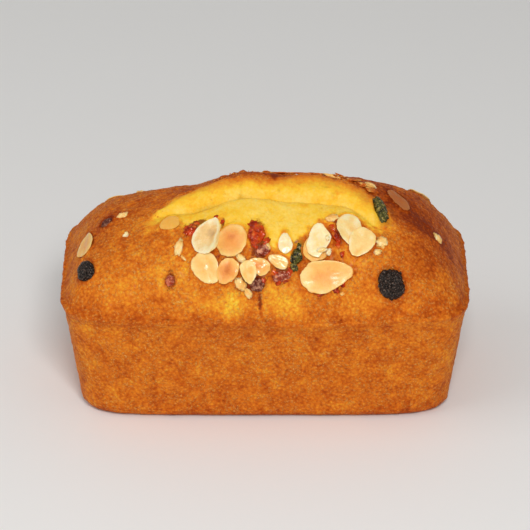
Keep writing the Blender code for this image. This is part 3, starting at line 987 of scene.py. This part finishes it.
def press_flake(points, normals, flake):
    """Lowers the crust to a flake's underside, and gives back the dark line round it: partly browned crust,
    partly painted shadow.
    """
    local = place_within(points, flake_place(flake))
    half = np.array([flake.length, flake.width]) * MM / 2
    taper = 1 - flake.taper * np.clip(local[:, 0] / half[0], -1, 1)
    spread = np.hypot(local[:, 0] / half[0], local[:, 1] / (half[1] * taper))
    bend = flake.curl * MM * (0.5 * (local[:, 0] / half[0]) ** 2 + (local[:, 1] / half[1]) ** 2)
    floor = bend - FLAKE_THICKNESS * 0.62
    near = abs(local[:, 2]) < 4 * MM
    over = np.clip(local[:, 2] - floor, 0, None) * (spread < 1.25) * near
    points -= normals * (over * (1 - smooth_step(0.92, 1.08, spread)))[:, None]
    swell = bell(spread - 1.10, 0.10) * near
    points += normals * (0.7 * MM * swell * (flake.lift < 0.9))[:, None]
    # The line is stronger on the flake's rear side, where a painted shadow falls.
    behind = smooth_step(-4 * MM, 2 * MM, points[:, 1] - flake.y * MM)
    return bell((spread - 1.05) * half[1], 0.55 * MM) * near * (0.3 + 0.7 * behind)


def press_fruit(points, normals, fruit):
    """Lowers the crust under a fruit piece, and gives back the dark line round it: partly browned crust,
    partly painted shadow.
    """
    local = place_within(points, fruit_place(fruit))
    spread = np.hypot(local[:, 0] / fruit.length, local[:, 1] / fruit.width) * 2 / MM
    near = abs(local[:, 2]) < 5 * MM
    points -= normals * (1.1 * MM * (1 - smooth_step(0.7, 1.0, spread)) * near)[:, None]
    swell = bell(spread - 1.16, 0.16) * near
    points += normals * (0.5 * MM * swell)[:, None]
    return bell((spread - 1.05) * fruit.width, 1.4) * near


def place_within(points, at):
    """Points as seen from a piece laid by a matrix."""
    turn = np.array(at.to_3x3())
    return (points - np.array(at.translation)) @ turn


def pitted(points, size, share, width):
    """Small round pits: 1 in the middle of each one that is chosen, and 0 outside."""
    depth = np.zeros(len(points))
    for index, place in enumerate((points / size).tolist()):
        distances, centres = noise.voronoi(place)
        if noise.cell(centres[0] * 7.3) < share and distances[0] < width * 2:
            depth[index] = math.exp(-((distances[0] / width) ** 2))
    return depth


class CAKE_OT_loaf(bpy.types.Operator):
    """Bakes the loaf: its form, its grain and pits, and where it is yellow, golden and brown"""

    bl_idname = "cake.loaf"
    bl_label = "Loaf"

    def execute(self, context):
        look = context.scene.cake_look
        coarse = 1
        cells = [count // coarse for count in (look.cells_long, look.cells_wide, look.cells_high)]
        mesh = new_mesh("loaf_crust", block_of_cells(*cells))
        points = loaf_points(read_points(mesh))
        write_points(mesh, points)
        normals = read_normals(mesh)
        x, y, z = points.T.copy()

        ragged = grain_at(points, 3.2 * MM, 2.0) + 0.5 * grain_at(points, 1.3 * MM, 6.0)
        top = smooth_step(49 * MM, 54 * MM, z)
        crumb = crumb_share(x, y, ragged) * top
        above_base = smooth_step(0.2 * MM, 3 * MM, z)
        points += normals * (self.relief(points, look, crumb, top) * above_base)[:, None]
        # The dark line round the toppings, painted into the tone below: partly browned crust, partly painted
        # shadow.
        outline_and_shadow = press_toppings(points, normals) * np.clip(0.6 + 0.8 * ragged, 0, 1)
        write_points(mesh, points)

        paint(mesh, "crumb", crumb)
        paint(mesh, "tone", crust_tone(points, crumb, ragged) - 0.26 * outline_and_shadow)
        paint(mesh, "syrup", patches(x, y, SYRUPS) * top)
        # Olive brown paint: real smudges, and painted shade as a thin line along the middle of the crease
        paint(mesh, "olive", (patches(x, y, OLIVE_STAINS_AND_SHADE) + 0.14 * self.crease_share(x, y)) * top)
        new_piece("loaf_crust", mesh, crust_finish(look), "cake", "loaf")
        return {"FINISHED"}

    def relief(self, points, look, crumb, top):
        """How far each point stands out: lumps and grain, the fold, the pits and the torn edge."""
        x, y = points[:, 0], points[:, 1]
        lumps = grain_at(points, 4.6 * MM, 1.0)
        grain = grain_at(points, 1.7 * MM, 3.0) + 0.6 * grain_at(points, 0.9 * MM, 5.0)
        relief = look.lump_height * lumps + look.grain_height * grain * (1 - 0.45 * crumb)
        relief += 0.5 * MM * grain_at(points, 8.0 * MM, 7.0) * crumb
        fold = bell(x - FOLD_PLACE, FOLD_WIDTH) * smooth_step(-12 * MM, -8 * MM, y)
        relief -= FOLD_DEPTH * fold * crumb
        relief -= PIT_DEPTH * pitted(points, PIT_SPACING, PIT_CHOICE, PIT_WIDTH)

        past_torn = y - torn_line(x)
        edge = grain_at(points, 2.4 * MM, 8.0)
        torn = smooth_step(-1.2 * MM, 0.2 * MM, past_torn + edge * 1.6 * MM)
        torn *= (1 - smooth_step(3 * MM, 8 * MM, past_torn)) * bulge_share(x) * top
        return relief + torn * (0.35 + 0.8 * edge) * MM

    def crease_share(self, x, y):
        """How near each point is to the middle stretch of the crease, from 0 to 1."""
        return bell(y - crease_line(x), 0.8 * MM) * (1 - smooth_step(20 * MM, 34 * MM, abs(x)))


class CAKE_OT_almonds(bpy.types.Operator):
    """Lays the flaked almonds: thin ragged ovals, curled, wavy and toasted in the middle"""

    bl_idname = "cake.almonds"
    bl_label = "Flaked almonds"

    def execute(self, context):
        finish = almond_finish(context.scene.cake_look)
        for seed, (name, flake) in enumerate(FLAKES.items()):
            shape = bmesh.new()
            bmesh.ops.create_uvsphere(shape, u_segments=64, v_segments=20, radius=1)
            mesh = new_mesh(name + "_flake", shape)
            points, toast = self.flake_points(read_points(mesh), flake, seed)
            write_points(mesh, points)
            mesh.transform(flake_place(flake))
            paint(mesh, "toast", toast)
            paint(mesh, "film", np.full(len(points), flake.film))
            new_piece(name + "_flake", mesh, finish, "almond", name)
        return {"FINISHED"}

    def flake_points(self, ball, flake, seed):
        """A unit ball's points moved onto the flake, and how toasted each one is.

        p runs along the flake and q across it, both from -1 to 1.
        """
        p, q, up = ball.T
        away = np.maximum(np.hypot(p, q), 1e-6)
        rim_p, rim_q = p / away, q / away
        ragged = 1 + 0.09 * noise_at(rim_p * 1.6, rim_q * 1.6, float(seed))
        ragged += 0.05 * noise_at(rim_p * 3, rim_q * 3, seed + 30.0) * away**3
        ragged += 0.03 * noise_at(rim_p * 9, rim_q * 9, seed + 50.0) * away**6
        if flake.chip != NO_CHIP:
            across, along = math.cos(flake.chip), math.sin(flake.chip)
            past_chip = np.clip(p * across + q * along - 0.72 + 0.12 * ragged, 0, 1)
            p = p - past_chip * across
            q = q - past_chip * along
        x = p * flake.length / 2 * ragged
        y = q * flake.width / 2 * ragged * (1 - flake.taper * p)
        bend = flake.curl * (0.5 * p * p + q * q) * (1 - flake.fold * q)
        bend += 0.3 * noise_at(1.3 * p, 1.3 * q, seed + 4.0) + 0.08 * noise_at(3.0 * p, 3.0 * q, seed + 8.0)
        thick = np.copysign(abs(up) ** 0.5, up) * (1 - 0.4 * away**2) * FLAKE_THICKNESS / MM / 2
        uneven = noise_at(1.8 * p, 1.8 * q, seed + 12.0)
        toast = flake.toast * (1.35 - 0.95 * away**2) + 0.22 * uneven + 0.08
        toast += 0.4 * flake.fold * smooth_step(0.4, 0.75, -q)
        rim = smooth_step(0.90, 1.0, away) * (0.5 + noise_at(rim_p * 2, rim_q * 2, seed + 20.0))
        return np.stack([x, y, thick + bend], axis=1) * MM, toast + 0.16 * rim


class CAKE_OT_fruit(bpy.types.Operator):
    """Sets the raisins and the candied red and green fruit into the crust"""

    bl_idname = "cake.fruit"
    bl_label = "Fruit pieces"

    def execute(self, context):
        # The raisin's palest colour is partly painted glints on its wrinkles.
        raisin = (linear(6, 3, 3), linear(24, 14, 11), linear(134, 110, 96))
        red = (linear(136, 24, 2), linear(204, 64, 8), linear(226, 118, 34))
        green = (linear(18, 22, 4), linear(76, 74, 20), linear(190, 164, 84))
        finishes = {
            "raisin": fruit_finish("raisin_skin", raisin, 1.1 * MM, 0.08, 0.36, 0.02, 0.8 * MM),
            "red_fruit": fruit_finish("red_fruit_jelly", red, 3.2 * MM, 0.04, 0.34, 0.45, 0.14 * MM),
            "green_fruit": fruit_finish("green_fruit_jelly", green, 1.8 * MM, 0.12, 0.4, 0.15, 0.4 * MM),
        }
        for seed, (name, fruit) in enumerate(FRUITS.items()):
            kind = name.rsplit("_", 1)[0]
            shape = bmesh.new()
            bmesh.ops.create_uvsphere(shape, u_segments=80, v_segments=52, radius=1)
            mesh = new_mesh(name + "_piece", shape)
            write_points(mesh, self.fruit_points(read_points(mesh), fruit, kind, seed))
            mesh.transform(fruit_place(fruit))
            paint(mesh, "plum", np.full(len(mesh.vertices), fruit.plum))
            new_piece(name + "_piece", mesh, finishes[kind], kind, name)
        self.add_lumps("sticky_lumps", JELLY, finishes["red_fruit"], "red_fruit")
        self.add_lumps("green_scraps", SCRAPS, finishes["green_fruit"], "green_fruit")
        return {"FINISHED"}

    def add_lumps(self, name, places, finish, slot):
        """Presses small lumps into the crust."""
        lumps = bmesh.new()
        for number, (x, y, size) in enumerate(places):
            at = resting_place(x * MM, y * MM, number * 2.4, -0.02 * size * MM)
            add_grain(lumps, at, (0.7 * size * MM, 0.54 * size * MM, 0.26 * size * MM), 3, 0.5, number + 40)
        new_piece(name, new_mesh(name, lumps), finish, slot)

    def fruit_points(self, ball, fruit, kind, seed):
        """A unit ball's points moved onto the fruit piece, with its dents and wrinkles."""
        x, y, z = ball.T
        dented = 1 + 0.16 * noise_at(x * 1.7 + seed, y * 1.7, z * 1.7)
        warp = 0.6 * noise_at(x * 2, y * 2, z * 2 + seed)
        coarse = noise_at(x * 2.4 + warp, y * 2.4 - warp, z * 1.8 + seed)
        fine = noise_at(x * 5.5 + seed, y * 5.5 + warp, z * 4.0)
        finest = noise_at(x * 10 + seed, y * 10 + warp, z * 8.0)
        if kind == "raisin":
            dented -= 0.15 * bell(coarse, 0.10) + 0.08 * bell(fine, 0.14)
            dented += 0.02 * finest
        else:
            dented += 0.18 * coarse + 0.04 * fine + 0.01 * finest
        sizes = np.array([fruit.length, fruit.width, fruit.height]) * MM / 2
        return ball * dented[:, None] * sizes


class CAKE_OT_almond_crumbs(bpy.types.Operator):
    """Bakes the small almond pieces onto the crust"""

    bl_idname = "cake.almond_crumbs"
    bl_label = "Almond crumbs"

    def execute(self, context):
        look = context.scene.cake_look
        heap = bmesh.new()
        for number, (x, y, length, width, turn) in enumerate(CRUMBS):
            self.add_scrap(heap, x, y, length, width, turn, CRUMB_LIFT, CRUMB_HEIGHT, number)
        for number, (x, y, length, width, turn, lift) in enumerate(CHIPS):
            self.add_scrap(heap, x, y, length, width, turn, lift * MM, CHIP_HEIGHT, number + 20)
        mesh = new_mesh("almond_crumbs", heap)
        points = read_points(mesh)
        toast = [0.36] * len(CRUMBS) + [0.08 if lift > 1 else 0.34 for *_, lift in CHIPS]
        toast = np.repeat(toast, len(points) // len(toast))
        paint(mesh, "toast", toast + 0.5 * grain_at(points, 2.2 * MM, 2.0))
        paint(mesh, "film", toast - 0.08)
        new_piece("almond_crumbs", mesh, almond_finish(look), "almond")
        return {"FINISHED"}

    def add_scrap(self, heap, x, y, length, width, turn, lift, height, seed):
        """Adds one small almond piece to a bmesh, laid on the crust."""
        at = resting_place(x * MM, y * MM, math.radians(turn), lift)
        add_grain(heap, at, (length / 2 * MM, width / 2 * MM, height / 2), 3, 0.5, seed)


def add_grain(heap, at, sizes, fineness, jitter, seed):
    """Adds one knobbly grain to a bmesh, laid by a matrix."""
    made = bmesh.ops.create_icosphere(heap, subdivisions=fineness, radius=1)["verts"]
    for vertex in made:
        knob = 1 + jitter * noise.noise(vertex.co * 1.9 + Vector((seed * 3.1, 0, 0)))
        knob += 0.4 * jitter * noise.noise(vertex.co * 4.3 + Vector((0, seed * 2.3, 0)))
        vertex.co = at @ Vector([c * size * knob for c, size in zip(vertex.co, sizes)])


class CAKE_OT_torn_crust(bpy.types.Operator):
    """Tears shards of crust and grains of crumb along the rear edge of the burst"""

    bl_idname = "cake.torn_crust"
    bl_label = "Torn crust"

    def execute(self, context):
        look = context.scene.cake_look
        draw = random.Random(5)
        shards = bmesh.new()
        for number in range(look.shards):
            x = draw.uniform(0, 42) * MM
            y = float(torn_line(x)) + draw.gauss(0.4, 1.1) * MM
            turn = draw.gauss(0, 0.7)
            at = resting_place(x, y, turn, draw.uniform(0.5, 1.0) * MM, 0, -draw.uniform(0.0, 0.25))
            sizes = (draw.uniform(1.4, 4.4) * MM, draw.uniform(0.8, 1.8) * MM, draw.uniform(0.2, 0.35) * MM)
            self.add_shard(shards, at, sizes, number)
        new_piece("crust_shards", new_mesh("crust_shards", shards), shard_finish(look), "cake")

        crumbs = bmesh.new()
        for number in range(look.loose_crumbs):
            x = draw.uniform(-42, 44) * MM
            y = float(torn_line(x)) + draw.gauss(-1.0, 2.2) * MM
            size = draw.uniform(0.15, 0.42) * MM
            at = resting_place(x, y, draw.uniform(0, 6.28), 0.25 * MM + size * 0.4)
            add_grain(crumbs, at, (size, size * 0.8, size * 0.7), 1, 0.5, number)
        new_piece("loose_crumbs", new_mesh("loose_crumbs", crumbs), crumb_finish(look), "cake")
        return {"FINISHED"}

    def add_shard(self, shards, at, sizes, seed):
        """Adds one thin jagged plate to a bmesh, laid by a matrix."""
        made = bmesh.ops.create_uvsphere(shards, u_segments=18, v_segments=6, radius=1)["verts"]
        for vertex in made:
            p, q, up = vertex.co
            around = Vector((p, q, 0)).normalized()
            jagged = 1 + 0.42 * noise.noise(around * 2.6 + Vector((0, 0, seed * 1.7)))
            curl = 0.35 * MM * (p * p + q * q) * noise.noise(Vector((p, q, seed)))
            thick = math.copysign(abs(up) ** 0.5, up) * sizes[2]
            vertex.co = at @ Vector((p * sizes[0] * jagged, q * sizes[1] * jagged, thick + curl))


class CAKE_OT_studio(bpy.types.Operator):
    """Sets the plain floor and backdrop, the soft lights and the camera"""

    bl_idname = "cake.studio"
    bl_label = "Studio"

    def execute(self, context):
        look = context.scene.studio_look
        scene = context.scene
        scene.view_settings.view_transform = "Standard"
        self.add_floor(scene, look)
        self.add_light(scene, "key_light", (0.12, -0.98, 0.92), 0.34, look.key_power)
        self.add_light(scene, "fill_light", (-0.8, -0.3, 0.8), 0.8, look.fill_power)
        world = bpy.data.worlds.new("soft_sky")
        world.use_nodes = True
        background = world.node_tree.nodes["Background"]
        background.inputs["Color"].default_value = (1, 1, 1, 1)
        background.inputs["Strength"].default_value = look.sky_strength
        scene.world = world
        lens = bpy.data.cameras.new("camera")
        lens.lens = look.camera_lens
        lens.sensor_width = 36
        camera = bpy.data.objects.new("camera", lens)
        camera.location = CAMERA_PLACE
        camera.rotation_euler = (math.radians(CAMERA_TILT), 0, 0)
        scene.collection.objects.link(camera)
        scene.camera = camera
        return {"FINISHED"}

    def add_floor(self, scene, look):
        """A floor that curves up into a backdrop."""
        shape = bmesh.new()
        bmesh.ops.create_grid(shape, x_segments=2, y_segments=2, size=FLOOR_REACH)
        rear = [e for e in shape.edges if all(v.co.y > FLOOR_REACH / 2 for v in e.verts)]
        drawn = bmesh.ops.extrude_edge_only(shape, edges=rear)["geom"]
        raised = [v for v in drawn if isinstance(v, bmesh.types.BMVert)]
        bmesh.ops.translate(shape, vec=(0, 0, BACKDROP_HEIGHT), verts=raised)
        bmesh.ops.bevel(
            shape, geom=rear, offset=BACKDROP_ROUND, segments=16, profile=0.5, affect="EDGES", material=-1
        )
        mesh = new_mesh("floor", shape)
        floor = bpy.data.objects.new("floor", mesh)
        finish = Finish("floor_paint")
        mottle = finish.noise(0.2, 2)
        pale = finish.blend(mottle * 0.2, look.floor_colour, (0.9, 0.9, 0.89))
        mesh.materials.append(finish.surface({"Base Color": pale, "Roughness": 0.8}))
        scene.collection.objects.link(floor)

    def add_light(self, scene, name, place, size, power):
        """A square soft light aimed at the middle of the loaf."""
        light = bpy.data.lights.new(name, "AREA")
        light.size = size
        light.energy = power
        lamp = bpy.data.objects.new(name, light)
        lamp.location = place
        aim = Vector(LIGHTS_AIM) - Vector(place)
        lamp.rotation_euler = aim.to_track_quat("-Z", "Y").to_euler()
        scene.collection.objects.link(lamp)


class CAKE_PT_panel(bpy.types.Panel):
    """Lists the steps and settings of the cake"""

    bl_idname = "CAKE_PT_panel"
    bl_label = "Fruit cake loaf"
    bl_space_type = "VIEW_3D"
    bl_region_type = "UI"
    bl_category = "Cake"

    def draw(self, context):
        for step in STEPS:
            self.layout.operator(step.bl_idname)
        for settings in (context.scene.cake_look, context.scene.studio_look):
            box = self.layout.box()
            for name in settings.__annotations__:
                box.prop(settings, name)


STEPS = (
    CAKE_OT_studio,
    CAKE_OT_loaf,
    CAKE_OT_almonds,
    CAKE_OT_fruit,
    CAKE_OT_almond_crumbs,
    CAKE_OT_torn_crust,
)
CLASSES = (CakeLook, StudioLook, *STEPS, CAKE_PT_panel)


def register():
    for cls in CLASSES:
        bpy.utils.register_class(cls)
    bpy.types.Scene.cake_look = PointerProperty(type=CakeLook)
    bpy.types.Scene.studio_look = PointerProperty(type=StudioLook)


def unregister():
    del bpy.types.Scene.studio_look
    del bpy.types.Scene.cake_look
    for cls in reversed(CLASSES):
        bpy.utils.unregister_class(cls)


def main():
    register()
    bpy.ops.cake.studio()
    bpy.ops.cake.loaf()
    bpy.ops.cake.almonds()
    bpy.ops.cake.fruit()
    bpy.ops.cake.almond_crumbs()
    bpy.ops.cake.torn_crust()
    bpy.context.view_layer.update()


if __name__ == "__main__":
    main()
